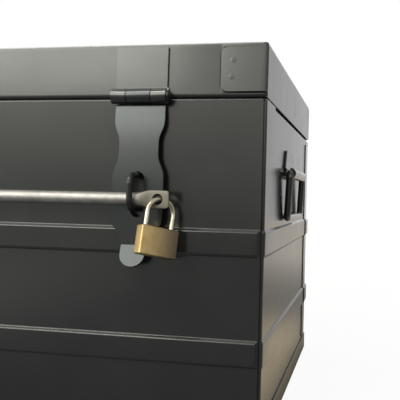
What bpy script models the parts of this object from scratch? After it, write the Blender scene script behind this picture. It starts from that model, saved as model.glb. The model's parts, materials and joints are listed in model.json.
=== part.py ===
"""Steel storage trunk: folded sheet body and lid, two hasps, a locking bar with a padlock, two drop handles.

Frame: metres, +Z up, the front faces -Y, +X is the viewer's right, and the origin is the middle of the
underside. Every solid is a loft: a row of loops joined by faces, capped at its ends or closed on itself.
"""
import math

import bpy
import bmesh
from mathutils import Matrix, Vector

# Driving dimensions of the box
BODY_LENGTH = 0.914
BODY_DEPTH = 0.508
TRUNK_HEIGHT = 0.3867
LID_FLANGE = 0.0527
SHEET = 0.0012
FIT_GAP = 0.0003

# Body panels
FRONT_GAP = 0.0006
SIDE_GAP = 0.004
SIDE_GAP_START = 0.066
SIDE_GAP_STEP = 0.002
PANEL_FOOT = 0.0015
CORNER_RADIUS = 0.0024
REAR_CORNER_RADIUS = 0.0085
BAND_BOTTOMS = (0.0751, 0.1806)
BAND_HEIGHT = 0.0278
BAND_RISE = 0.0026
BAND_RAMP = 0.0038
BAND_FILLET = 0.0009
BAND_RUN_OUT = 0.003
BAND_CORNER_SHARE = 0.4
BAND_RUN_IN = 0.040
SHOULDER_RADIUS = 0.0019
LIP_REACH = 0.0022
PLAIN_DROP = 0.004
JOGGLE = 0.0007
SEAM_GROOVE = 0.0012
FLANGE_LENGTH = 0.020
REAR_FLANGE = 0.058
PAN_SKIRT = 0.022

# Rim frame inside the top of the body
RIM_INSET = 0.0032
RIM_SHEET = 0.0016
RIM_BOTTOM = 0.312
RIM_TOP = 0.349

# Lid
LID_FLARE = 0.0022
LID_EDGE_RADIUS = 0.002
LID_CORNER_RADIUS = 0.004
HEM_ROLL = 0.0026
HEM_TURN_IN = 0.001
TAB_LENGTH = 0.045
TAB_LOW = 0.3386
TAB_HIGH = 0.3832
TAB_CORNER = 0.006
TAB_EDGE = 0.0009
TAB_SINK = 0.0006
TAB_DIP = 0.003
TAB_GROOVE = 0.0007
TAB_GROOVE_DEPTH = 0.0005

# Hasps
HASP_INSET = 0.123
HASP_SHEET = 0.003
HASP_PIN_RADIUS = 0.0041
HASP_BARREL_BORE = 0.0045
HASP_BARREL_HALF = 0.0275
HASP_KNUCKLE_HALF = 0.012
HASP_KNUCKLE_GAP = 0.0009
HASP_ROLL_STEPS = 24
HASP_PIN_HEIGHT = 0.3345
HASP_PIN_PROUD = 0.0105
LEAF_TOP = 0.383
LEAF_FOOT = 0.343
LEAF_HALF = 0.026
STRAP_PROUD = 0.01075
STRAP_SHOULDER = 0.3262
STRAP_LEAN_TOP = 0.331
STRAP_LEAN_FOOT = 0.226
STRAP_BEND = 0.1905
TONGUE_BEND = 0.0025
TONGUE_ANGLE = math.radians(24)
TONGUE_STRAIGHT = 0.0095
TONGUE_DRIFT = 0.0026
STRAP_WIDTHS = ((STRAP_SHOULDER, 0.025), (0.310, 0.0252), (0.291, 0.0198), (0.277, 0.0198), (0.257, 0.0257),
                (0.212, 0.0257), (0.200, 0.0152), (STRAP_BEND, 0.0124))
SLOT_WIDTH = 0.0135
SLOT_LOW = 0.217
SLOT_HIGH = 0.2617

# Staples and locking bar
STAPLE_WIRE = 0.003
STAPLE_HALF = 0.016
STAPLE_BEND = 0.009
STAPLE_MIDDLE = 0.2417
STAPLE_REACH = 0.036
STAPLE_TAIL = 0.006
STAPLE_PLATE = (0.044, 0.064, 0.0025)
BAR_RADIUS = 0.006
BAR_HEIGHT = 0.235
BAR_PROUD = 0.0255
BAR_HEAD_RADIUS = 0.010
BAR_HEAD_LENGTH = 0.006
BAR_PLAY = 0.0125
EYE_INSET = 0.0983
EYE_RADIUS = 0.0053
EYE_MARGIN = 0.0108
PADDLE_HALF_HEIGHT = 0.0083
PADDLE_HALF_THICK = 0.0011
PADDLE_TAPER = 0.0145

# Padlock
LOCK_WIDTH = 0.040
LOCK_HEIGHT = 0.0275
LOCK_THICK = 0.0127
LOCK_EDGE = 0.0009
SHACKLE_RADIUS = 0.0025
SHACKLE_BEND = 0.0139
SHACKLE_RISE = 0.0135
TOE_DEPTH = 0.008
HEEL_DEPTH = 0.020
PLUG_RADIUS = 0.0052
PLUG_LENGTH = 0.007
KEYWAY = (0.0068, 0.0012)
LOCK_TURN = math.radians(45.7)
LOCK_PITCH = math.radians(-6)
LOCK_TILT = math.radians(10.9)
HANG_ANGLE = math.radians(22.4)

# Rear hinges
REAR_HINGE_OFFSET = 0.280
REAR_HINGE_HALF = 0.030
REAR_KNUCKLE = 0.012
REAR_SHEET = 0.002
REAR_PIN_RADIUS = 0.0024
REAR_BORE = 0.0027
REAR_LEAF = 0.0425
REAR_AXIS_HEIGHT = 0.3325
LID_OPENING = math.radians(100)
STOP_REACH = 0.014

# Drop handles
HANDLE_HEIGHT = 0.268
HANDLE_MIDDLE = -0.012
BAIL_PROUD = 0.0068
BAIL_HALF = 0.0815
BAIL_DROP = 0.052
BAIL_RADIUS = 0.004
BAIL_CORNER = 0.005
BAIL_LEAN = math.radians(2.5)
CLIP_SHEET = 0.0022
CLIP_ROLL_HALF = 0.0762
CLIP_TOP = 0.295
CLIP_STEP = 0.0055
CLIP_WIDTHS = ((CLIP_TOP, 0.070), (CLIP_TOP - 0.0012, 0.0742), (CLIP_TOP - 0.0035, 0.0772),
               (CLIP_TOP - 0.007, 0.0792), (HANDLE_HEIGHT + CLIP_STEP, 0.088))

HALF_LENGTH = BODY_LENGTH / 2
HALF_DEPTH = BODY_DEPTH / 2
LID_BOTTOM = TRUNK_HEIGHT - LID_FLANGE
FRONT = -HALF_DEPTH
SIDES = {"left": -1, "right": 1}
BAR_Y = FRONT - BAR_PROUD
EYE = Vector((HALF_LENGTH - EYE_INSET, BAR_Y, BAR_HEIGHT))


def remove_objects():
    """Empties the scene of its objects."""
    for item in list(bpy.data.objects):
        bpy.data.objects.remove(item, do_unlink=True)


def finish(name, colour, roughness, metallic):
    """Makes a Principled material from a linear colour."""
    material = bpy.data.materials.new(name)
    material.use_nodes = True
    shader = material.node_tree.nodes["Principled BSDF"]
    shader.inputs["Base Color"].default_value = (*colour, 1.0)
    shader.inputs["Roughness"].default_value = roughness
    shader.inputs["Metallic"].default_value = metallic
    return material


def loft(name, loops, material, pivot=(0, 0, 0), closed=False):
    """Joins equal loops of points into one closed mesh whose object stands at the pivot."""
    origin = Vector(pivot)
    mesh_data = bmesh.new()
    rows = [[mesh_data.verts.new(Vector(point) - origin) for point in loop] for loop in loops]
    count = len(rows[0])
    pairs = list(zip(rows, rows[1:]))
    if closed:
        pairs.append((rows[-1], rows[0]))
    else:
        mesh_data.faces.new(rows[0])
        mesh_data.faces.new(rows[-1])
    for low, high in pairs:
        for i in range(count):
            j = (i + 1) % count
            mesh_data.faces.new((low[i], low[j], high[j], high[i]))
    bmesh.ops.recalc_face_normals(mesh_data, faces=mesh_data.faces)
    mesh = bpy.data.meshes.new(name)
    mesh_data.to_mesh(mesh)
    mesh_data.free()
    mesh.shade_smooth()
    mesh.set_sharp_from_angle(angle=math.radians(35))
    item = bpy.data.objects.new(name, mesh)
    item.location = origin
    bpy.context.scene.collection.objects.link(item)
    if material:
        mesh.materials.append(material)
    return item


def combine(item, tool, operation):
    """Adds an exact Boolean of the tool to the item and hides the tool."""
    tool.hide_render = True
    tool.display_type = "WIRE"
    modifier = item.modifiers.new(tool.name, "BOOLEAN")
    modifier.operation = operation
    modifier.solver = "EXACT"
    modifier.object = tool


def arc(centre, radius, start, end, steps):
    """Points on a flat arc between two angles in degrees."""
    points = []
    for i in range(steps + 1):
        angle = math.radians(start + (end - start) * i / steps)
        points.append((centre[0] + radius * math.cos(angle), centre[1] + radius * math.sin(angle)))
    return points


def offset_path(path, distance):
    """Moves an open flat path to its left by a distance, with mitred corners."""
    moved = []
    for i, point in enumerate(path):
        here = Vector(point)
        before = Vector(path[max(i - 1, 0)])
        after = Vector(path[min(i + 1, len(path) - 1)])
        sides = [step.normalized() for step in (here - before, after - here) if step.length > 0]
        normals = [Vector((-step.y, step.x)) for step in sides]
        mean = sum(normals, Vector((0, 0))).normalized()
        moved.append(tuple(here + mean * (distance / mean.dot(normals[0]))))
    return moved


def box_loops(low, high):
    """Two loops of a box between its lowest and highest corners."""
    corners = ((low[0], low[1]), (high[0], low[1]), (high[0], high[1]), (low[0], high[1]))
    return [[(x, y, z) for x, y in corners] for z in (low[2], high[2])]


def turned(name, start, direction, profile, material, sides=20, pivot=(0, 0, 0)):
    """A round piece: circles of the profile's (distance, radius) pairs along a direction."""
    axis = Vector(direction).normalized()
    across = axis.orthogonal().normalized()
    up = axis.cross(across)
    loops = []
    for distance, radius in profile:
        middle = Vector(start) + axis * distance
        angles = [2 * math.pi * i / sides for i in range(sides)]
        loops.append([middle + (across * math.cos(a) + up * math.sin(a)) * radius for a in angles])
    return loft(name, loops, material, pivot)


def tube(name, path, normal, radius, material, sides=12, pivot=(0, 0, 0), closed=False):
    """A round wire along a flat path whose plane has the given normal."""
    flat = Vector(normal).normalized()
    points = [Vector(point) for point in path]
    loops = []
    for i, point in enumerate(points):
        before = points[i - 1] if i or closed else point
        after = points[(i + 1) % len(points)] if i + 1 < len(points) or closed else point
        across = (after - before).normalized().cross(flat)
        angles = [2 * math.pi * (k + 0.5) / sides for k in range(sides)]
        loops.append([point + (across * math.cos(a) + flat * math.sin(a)) * radius for a in angles])
    return loft(name, loops, material, pivot, closed)


def ribbon(name, path, thickness, half_widths, place, material, pivot=(0, 0, 0)):
    """A strip of sheet: a flat path of its middle, with a half width at each point of it."""
    left = offset_path(path, thickness / 2)
    right = offset_path(path, -thickness / 2)
    loops = []
    for near, far, half in zip(left, right, half_widths):
        loops.append([place(-half, *near), place(half, *near), place(half, *far), place(-half, *far)])
    return loft(name, loops, material, pivot)


def eased(keys, value):
    """Reads a smooth curve through (position, value) keys whose positions fall."""
    for (high, first), (low, last) in zip(keys, keys[1:]):
        if value >= low:
            share = min(max((high - value) / (high - low), 0), 1)
            return first + (last - first) * (1 - math.cos(math.pi * share)) / 2
    return keys[-1][1]


def panel_profile(band, lip, gap):
    """Outer face of a body panel as (proud, height) points: foot, raised bands, and a lip or a plain top."""
    points = [(0.0, PANEL_FOOT)]
    rise = BAND_RISE * band
    ramp = ((0, 0), (BAND_FILLET, 0.12), (BAND_RAMP - BAND_FILLET, 0.88), (BAND_RAMP, 1))
    for bottom in BAND_BOTTOMS:
        points += [(rise * share, bottom + height) for height, share in ramp]
        points += [(rise * share, bottom + BAND_HEIGHT - height) for height, share in reversed(ramp)]
    shoulder = LID_BOTTOM - gap
    bend = arc((-SHOULDER_RADIUS, shoulder - SHOULDER_RADIUS), SHOULDER_RADIUS, 0, 90, 3)
    bend.append((-LIP_REACH, shoulder))
    if not lip:
        bend = [(0.0, shoulder - PLAIN_DROP * (2 - i / (len(bend) - 1))) for i in range(len(bend))]
    return points + bend


def panel(name, stations, material):
    """A folded panel: its profile carried along stations of (x, y, normal x, normal y, band, lip, gap)."""
    loops = []
    for x, y, nx, ny, band, lip, gap in stations:
        outer = panel_profile(band, lip, gap)
        outline = outer + offset_path(outer, SHEET)[::-1]
        loops.append([(x + nx * proud, y + ny * proud, height) for proud, height in outline])
    return loft(name, loops, material)


def rounded_rectangle(half_x, front, rear, radii, height, steps=3):
    """A level loop with round corners of a front and a rear radius, between a front and a rear depth."""
    near, far = radii
    corners = (((half_x - far, rear - far), far, 0), ((-half_x + far, rear - far), far, 90),
               ((-half_x + near, front + near), near, 180), ((half_x - near, front + near), near, 270))
    points = []
    for centre, radius, start in corners:
        points += arc(centre, radius, start, start + 90, steps)
    return [(x, y, height) for x, y in points]


def build_side_panel(name, side, material):
    """An end panel that turns round the front corner and is joggled behind the front and rear panels."""
    tuck = SHEET + FIT_GAP
    turn = (HALF_LENGTH - CORNER_RADIUS, FRONT + CORNER_RADIUS)
    stations = [(HALF_LENGTH - FLANGE_LENGTH, FRONT + tuck, 0, -1, 0, 0, FRONT_GAP),
                (turn[0] - JOGGLE, FRONT + tuck, 0, -1, 0, 0, FRONT_GAP)]
    bend = arc(turn, CORNER_RADIUS, -90, 0, 4)
    for i, (x, y) in enumerate(bend):
        share = BAND_CORNER_SHARE * i / (len(bend) - 1)
        normal = ((x - turn[0]) / CORNER_RADIUS, (y - turn[1]) / CORNER_RADIUS)
        stations.append((x, y, *normal, share, 1, FRONT_GAP))
    seam = HALF_DEPTH - REAR_FLANGE - SEAM_GROOVE
    step = FRONT + SIDE_GAP_START
    for y, band, gap in ((FRONT + BAND_RUN_IN, 1, FRONT_GAP), (step, 1, FRONT_GAP),
                         (step + SIDE_GAP_STEP, 1, SIDE_GAP), (seam - BAND_RUN_OUT, 1, SIDE_GAP),
                         (seam, 0, SIDE_GAP)):
        stations.append((HALF_LENGTH, y, 1, 0, band, 1, gap))
    for y in (seam + JOGGLE, seam + FLANGE_LENGTH):
        stations.append((HALF_LENGTH - tuck, y, 1, 0, 0, 0, SIDE_GAP))
    turned_stations = [(side * x, y, side * nx, ny, *rest) for x, y, nx, ny, *rest in stations]
    return panel(name, turned_stations, material)


def build_front_panel(material):
    """The front panel, with the bands run out at its ends and holes for the staples' tails."""
    end = HALF_LENGTH - CORNER_RADIUS - SEAM_GROOVE
    stations = []
    for x, band in ((-end, 0), (-end + BAND_RUN_OUT, 1), (end - BAND_RUN_OUT, 1), (end, 0)):
        stations.append((x, FRONT, 0, -1, band, 1, FRONT_GAP))
    front = panel("front_panel", stations, material)
    for side, sign in SIDES.items():
        for end_name, height in staple_heights().items():
            hole = turned(f"panel_hole_{side}_{end_name}", (hasp_x(sign), FRONT - SHEET, height), (0, 1, 0),
                          ((0, STAPLE_WIRE + FIT_GAP), (4 * SHEET, STAPLE_WIRE + FIT_GAP)), None)
            combine(front, hole, "DIFFERENCE")
    return front


def build_rear_panel(material):
    """The rear panel, turned round the rear corners and flush with the end panels."""
    radius = REAR_CORNER_RADIUS
    turn = (HALF_LENGTH - radius, HALF_DEPTH - radius)
    seam = HALF_DEPTH - REAR_FLANGE
    right = [(HALF_LENGTH, seam, 1, 0, 0, 1, SIDE_GAP),
             (HALF_LENGTH, seam + BAND_RUN_OUT, 1, 0, 1, 1, SIDE_GAP)]
    for x, y in arc(turn, radius, 0, 90, 6):
        right.append((x, y, (x - turn[0]) / radius, (y - turn[1]) / radius, 1, 1, SIDE_GAP))
    left = [(-x, y, -nx, ny, *rest) for x, y, nx, ny, *rest in reversed(right)]
    return panel("rear_panel", right + left, material)


def build_floor_pan(material):
    """The bottom tray, whose skirt stands outside the panels."""
    inside = FIT_GAP
    outside = FIT_GAP + SHEET
    loops = []
    for spread, height in ((inside, SHEET), (inside, PAN_SKIRT), (outside, PAN_SKIRT), (outside, 0)):
        loops.append(rounded_rectangle(HALF_LENGTH + spread, FRONT - spread, HALF_DEPTH + spread,
                                       (CORNER_RADIUS + spread, REAR_CORNER_RADIUS + spread), height, 6))
    return loft("floor_pan", loops, material)


def build_rim_frame(material):
    """The strip welded inside the shoulder, which stands up into the lid."""
    loops = []
    for inset, height in ((RIM_INSET, RIM_BOTTOM), (RIM_INSET, RIM_TOP),
                          (RIM_INSET + RIM_SHEET, RIM_TOP), (RIM_INSET + RIM_SHEET, RIM_BOTTOM)):
        loops.append(rounded_rectangle(HALF_LENGTH - inset, FRONT + inset, HALF_DEPTH - inset,
                                       (CORNER_RADIUS, REAR_CORNER_RADIUS - inset), height, 6))
    return loft("rim_frame", loops, material, closed=True)


def lid_front(height):
    """Depth of the lid's flared front face at a height."""
    return FRONT - LID_FLARE * (TRUNK_HEIGHT - height) / LID_FLANGE


def lid_loop(inset, height, front_inset=None):
    """One level loop of the lid, drawn in from its outer faces, with its own inset at the front if given."""
    front = lid_front(height) + (inset if front_inset is None else front_inset)
    radius = max(LID_CORNER_RADIUS - inset, LID_EDGE_RADIUS * 0.6)
    return rounded_rectangle(HALF_LENGTH - inset, front, HALF_DEPTH - inset, (radius, radius), height)


def build_lid(material, axis):
    """The lid: a folded pan with a rolled front hem and corner tabs welded on its front and rear."""
    edge = LID_EDGE_RADIUS
    slope = 1 - math.sqrt(0.5)
    lip = HEM_ROLL + HEM_TURN_IN
    loops = [lid_loop(edge, TRUNK_HEIGHT - SHEET), lid_loop(SHEET, TRUNK_HEIGHT - edge),
             lid_loop(SHEET, LID_BOTTOM + HEM_ROLL), lid_loop(SHEET, LID_BOTTOM + SHEET, lip),
             lid_loop(SHEET, LID_BOTTOM, lip)]
    for inset, height in arc((HEM_ROLL, LID_BOTTOM + HEM_ROLL), HEM_ROLL, 270, 180, 4):
        loops.append(lid_loop(0, height, inset))
    loops += [lid_loop(0, TRUNK_HEIGHT - edge), lid_loop(edge * slope, TRUNK_HEIGHT - edge * slope),
              lid_loop(edge, TRUNK_HEIGHT)]
    lid = loft("lid_shell", loops, material, axis)
    for side, sign in SIDES.items():
        combine(lid, tab_pocket(f"tab_pocket_{side}", sign), "DIFFERENCE")
        combine(lid, corner_tab(f"front_tab_{side}", sign, lid_front, -1), "UNION")
        combine(lid, corner_tab(f"rear_tab_{side}", sign, lambda height: HALF_DEPTH, 1), "UNION")
    return lid


def tab_stations():
    """Stations of a corner tab as (x, depth, normal x, normal depth, proud, low, high), to the end face."""
    stations = []
    inner_x = HALF_LENGTH - TAB_LENGTH
    for turn in (0, 25, 50, 90):
        angle = math.radians(turn)
        draw = TAB_CORNER * (1 - math.sin(angle))
        x = inner_x + TAB_CORNER * (1 - math.cos(angle))
        stations.append((x, 0, 0, 1, SHEET, TAB_LOW + draw, TAB_HIGH - draw))
    first = stations[0]
    stations.insert(0, (inner_x - TAB_EDGE, 0, 0, 1, -TAB_SINK / 3, *first[5:]))
    radius = LID_CORNER_RADIUS
    corner = (HALF_LENGTH - radius, -radius)
    stations.append((corner[0] - TAB_DIP, 0, 0, 1, SHEET, TAB_LOW, TAB_HIGH))
    fall = TAB_LOW - LID_BOTTOM - FIT_GAP
    for x, depth in arc(corner, radius, 85, 4, 5):
        normal = ((x - corner[0]) / radius, (depth - corner[1]) / radius)
        low = TAB_LOW - fall * (1 - normal[1])
        stations.append((x, depth, *normal, SHEET * normal[1] + TAB_SINK / 3, low, TAB_HIGH))
    stations.append((HALF_LENGTH, corner[1] - TAB_DIP, 1, 0, -TAB_SINK / 3, TAB_LOW - fall, TAB_HIGH))
    return stations


def corner_tab(name, sign, face, outward):
    """A tab of the lid's end flange, turned round the corner: rounded at its free end, with soft edges."""
    loops = []
    for x, depth, nx, ny, proud, low, high in tab_stations():
        ring = []
        for height, share, draw in ((low, 0, 0), (low, 0.5, 0), (low, 1, TAB_EDGE), (high, 1, -TAB_EDGE),
                                    (high, 0.5, 0), (high, 0, 0)):
            level = height + draw
            out = -TAB_SINK + share * (proud + TAB_SINK)
            ring.append((sign * (x + nx * out), face(level) + outward * (depth + ny * out), level))
        loops.append(ring)
    return loft(name, loops, None)


def tab_pocket(name, sign):
    """A shallow pocket in the lid's front, wider than the tab, which leaves a groove along its edges."""
    inner_x = HALF_LENGTH - TAB_LENGTH - TAB_EDGE - TAB_GROOVE
    outline = []
    for turn in (0, 25, 50, 90):
        angle = math.radians(turn)
        draw = TAB_CORNER * (1 - math.sin(angle))
        outline.append((inner_x + TAB_CORNER * (1 - math.cos(angle)), draw))
    outline.append((HALF_LENGTH - LID_CORNER_RADIUS - TAB_DIP, 0))
    loops = []
    for x, draw in outline:
        low = TAB_LOW - TAB_GROOVE + draw
        high = TAB_HIGH - draw
        corners = ((low, TAB_GROOVE_DEPTH), (low, -2 * SHEET), (high, -2 * SHEET), (high, TAB_GROOVE_DEPTH))
        loops.append([(sign * x, lid_front(height) + depth, height) for height, depth in corners])
    return loft(name, loops, None)


def hasp_x(sign):
    """Place of a hasp's middle along the trunk."""
    return sign * (HALF_LENGTH - HASP_INSET)


def hasp_axis(sign):
    """Middle of a hasp's pin."""
    return Vector((hasp_x(sign), FRONT - HASP_PIN_PROUD, HASP_PIN_HEIGHT))


def along_length(middle):
    """Places a strip's (across, depth, height) point with its width along X."""
    return lambda across, depth, height: (middle + across, depth, height)


def build_hasp_leaf(name, sign, material, lid_axis):
    """The fixed leaf on the lid, rolled under the pin at both ends of the barrel."""
    axis = hasp_axis(sign)
    roll = HASP_BARREL_BORE + HASP_SHEET / 2
    stand_off = FIT_GAP + HASP_SHEET / 2
    plate = (LEAF_TOP, LEAF_FOOT + FIT_GAP, LEAF_FOOT)
    path = [(lid_front(height) - stand_off, height) for height in plate]
    path += arc((axis.y, axis.z), roll, 0, -262, HASP_ROLL_STEPS)
    widths = [LEAF_HALF] * 2 + [HASP_BARREL_HALF] * (len(path) - 2)
    leaf = ribbon(name, path, HASP_SHEET, widths, along_length(axis.x), material, lid_axis)
    reach = HASP_BARREL_BORE + HASP_SHEET + FIT_GAP
    half = HASP_KNUCKLE_HALF + HASP_KNUCKLE_GAP
    notch = box_loops((axis.x - half, axis.y - 2 * reach, axis.z - 2 * reach),
                      (axis.x + half, axis.y + 2 * reach, axis.z + reach))
    combine(leaf, loft(f"{name}_notch", notch, None), "DIFFERENCE")
    return leaf


def strap_roll(axis):
    """Middle line of a strap's rolled knuckle, from its free end to behind the pin."""
    return arc((axis.y, axis.z), HASP_BARREL_BORE + HASP_SHEET / 2, 255, 0, HASP_ROLL_STEPS)


def strap_blade(axis):
    """Middle line of a strap's blade: it leans out in an easing curve, falls straight and turns out below."""
    back = axis.y + HASP_BARREL_BORE + HASP_SHEET / 2
    plane = FRONT - STRAP_PROUD
    steps = 28
    path = []
    for i in range(steps + 1):
        height = STRAP_LEAN_TOP + (STRAP_BEND - STRAP_LEAN_TOP) * i / steps
        left = max(height - STRAP_LEAN_FOOT, 0) / (STRAP_LEAN_TOP - STRAP_LEAN_FOOT)
        path.append((plane + (back - plane) * left * left, height))
    return path + arc((plane - TONGUE_BEND, STRAP_BEND), TONGUE_BEND, 0, -math.degrees(TONGUE_ANGLE), 3)[1:]


def build_strap(name, sign, material):
    """The swinging strap: a rolled knuckle, a waisted blade with a slot, and a tongue to lift it by."""
    axis = hasp_axis(sign)
    roll = strap_roll(axis)
    blade = strap_blade(axis)
    neck = [point for point in blade if point[1] > STRAP_SHOULDER]
    rest = blade[len(neck):]
    share = (neck[-1][1] - STRAP_SHOULDER) / (neck[-1][1] - rest[0][1])
    shoulder = Vector(neck[-1]).lerp(Vector(rest[0]), share)
    corner = [tuple(shoulder + Vector((0, FIT_GAP))), tuple(shoulder)]
    path = roll + neck + corner + rest
    end_width = STRAP_WIDTHS[-1][1]
    widths = [HASP_KNUCKLE_HALF] * (len(roll) + len(neck) + 1)
    widths += [max(eased(STRAP_WIDTHS, height), end_width) for _, height in corner[1:] + rest]
    out = Vector((-math.sin(TONGUE_ANGLE), -math.cos(TONGUE_ANGLE)))
    root = Vector(path[-1])
    path.append(tuple(root + out * TONGUE_STRAIGHT))
    widths.append(end_width)
    for i in range(1, 7):
        angle = math.radians(14 * i)
        path.append(tuple(root + out * (TONGUE_STRAIGHT + end_width * math.sin(angle))))
        widths.append(end_width * math.cos(angle))
    drift = ((STRAP_LEAN_FOOT, 0), (STRAP_BEND, sign * TONGUE_DRIFT))
    strap = ribbon(name, path, HASP_SHEET, widths,
                   lambda across, depth, height: (axis.x + across - eased(drift, height), depth, height),
                   material, axis)
    radius = SLOT_WIDTH / 2
    slot = arc((axis.x, SLOT_HIGH - radius), radius, 0, 180, 8)
    slot += arc((axis.x, SLOT_LOW + radius), radius, 180, 360, 8)
    depths = (FRONT - 2 * STRAP_PROUD, FRONT)
    cutter = loft(f"{name}_slot", [[(x, y, z) for x, z in slot] for y in depths], None)
    combine(strap, cutter, "DIFFERENCE")
    return strap


def build_hasp_pin(name, sign, material, lid_axis):
    """A hasp's pin with a riveted head at its right end."""
    start = hasp_axis(sign) - Vector((HASP_BARREL_HALF + FIT_GAP, 0, 0))
    length = 2 * (HASP_BARREL_HALF + FIT_GAP)
    head = HASP_PIN_RADIUS * 1.35
    profile = ((0, HASP_PIN_RADIUS * 0.85), (0.0006, HASP_PIN_RADIUS), (length, HASP_PIN_RADIUS),
               (length, head), (length + 0.0014, head), (length + 0.0024, head * 0.6))
    return turned(name, start, (1, 0, 0), profile, material, 16, lid_axis)


def staple_heights():
    """Heights of a staple's two tails."""
    return {"low": STAPLE_MIDDLE - STAPLE_HALF, "high": STAPLE_MIDDLE + STAPLE_HALF}


def build_staple(name, sign, material):
    """A round wire loop that stands out of the front panel through the strap's slot."""
    heights = staple_heights()
    tail = FRONT + STAPLE_TAIL
    corner = FRONT - STAPLE_REACH + STAPLE_BEND
    path = [(tail, heights["low"])]
    path += arc((corner, heights["low"] + STAPLE_BEND), STAPLE_BEND, 270, 180, 5)
    path += arc((corner, heights["high"] - STAPLE_BEND), STAPLE_BEND, 180, 90, 5)
    path.append((tail, heights["high"]))
    points = [(hasp_x(sign), y, z) for y, z in path]
    return tube(name, points, (1, 0, 0), STAPLE_WIRE, material)


def build_staple_plate(name, sign, material):
    """The backing plate inside the front panel, which the staple's tails pass through."""
    width, height, thickness = STAPLE_PLATE
    face = FRONT + SHEET + FIT_GAP
    low = (hasp_x(sign) - width / 2, face, STAPLE_MIDDLE - height / 2)
    high = (hasp_x(sign) + width / 2, face + thickness, STAPLE_MIDDLE + height / 2)
    plate = loft(name, box_loops(low, high), material)
    for end_name, level in staple_heights().items():
        hole = turned(f"{name}_hole_{end_name}", (hasp_x(sign), FRONT, level), (0, 1, 0),
                      ((0, STAPLE_WIRE + FIT_GAP), (4 * thickness, STAPLE_WIRE + FIT_GAP)), None)
        combine(plate, hole, "DIFFERENCE")
    return plate


def build_bar(material):
    """The locking bar: a round rod with an upset head, and a flattened right end with an eye."""
    staple_side = HALF_LENGTH - HASP_INSET
    head_end = -(staple_side + STAPLE_WIRE + BAR_PLAY)
    tip = EYE.x + EYE_MARGIN
    flat_start = staple_side + STAPLE_WIRE
    flat = flat_start + PADDLE_TAPER
    head, rod, tall, thick = BAR_HEAD_RADIUS, BAR_RADIUS, PADDLE_HALF_HEIGHT, PADDLE_HALF_THICK
    sections = ((head_end - BAR_HEAD_LENGTH, head * 0.8, head * 0.8, 2),
                (head_end - BAR_HEAD_LENGTH * 0.75, head, head, 2),
                (head_end - BAR_HEAD_LENGTH * 0.1, head, head, 2),
                (head_end, head * 0.9, head * 0.9, 2), (head_end, rod, rod, 2), (flat_start, rod, rod, 2),
                (flat_start + PADDLE_TAPER * 0.4, rod * 0.72, rod * 1.12, 2.6),
                (flat_start + PADDLE_TAPER * 0.8, thick * 1.6, tall * 0.97, 5), (flat, thick, tall, 9),
                (tip - EYE_MARGIN * 0.28, thick, tall, 9), (tip - EYE_MARGIN * 0.07, thick, tall * 0.93, 9),
                (tip, thick * 0.8, tall * 0.84, 9))
    loops = [[(x, BAR_Y + y, BAR_HEIGHT + z) for y, z in squared_round(half_y, half_z, power)]
             for x, half_y, half_z, power in sections]
    bar = loft("locking_bar", loops, material, (0, BAR_Y, BAR_HEIGHT))
    eye = turned("bar_eye", EYE - Vector((0, 2 * BAR_RADIUS, 0)), (0, 1, 0),
                 ((0, EYE_RADIUS), (4 * BAR_RADIUS, EYE_RADIUS)), None, 24)
    combine(bar, eye, "DIFFERENCE")
    return bar


def squared_round(half_y, half_z, power, sides=24):
    """A closed curve between an ellipse, at power 2, and a rectangle, at high powers."""
    points = []
    for i in range(sides):
        angle = 2 * math.pi * (i + 0.5) / sides
        y, z = math.cos(angle), math.sin(angle)
        size = (abs(y) ** power + abs(z) ** power) ** (1 / power)
        points.append((half_y * y / size, half_z * z / size))
    return points


def lock_place(point):
    """Turns a point of the padlock's own frame (across, depth, up, from the arch's top) to where it hangs."""
    held = Vector((-math.sin(HANG_ANGLE), 0, math.cos(HANG_ANGLE) - 1)) * SHACKLE_BEND
    lean = Matrix.Rotation(LOCK_PITCH, 3, "X") @ Matrix.Rotation(LOCK_TILT, 3, "Y")
    turn = Matrix.Rotation(LOCK_TURN, 3, "Z") @ lean
    return EYE + turn @ (Vector(point) - held)


def lock_drill(name, across, radius, start, depth, sides=12):
    """A round cutter along the padlock's height, from a level downwards."""
    foot = lock_place((across, 0, start - depth))
    axis = lock_place((across, 0, start)) - foot
    return turned(name, foot, axis, ((0, radius), (depth, radius)), None, sides)


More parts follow.
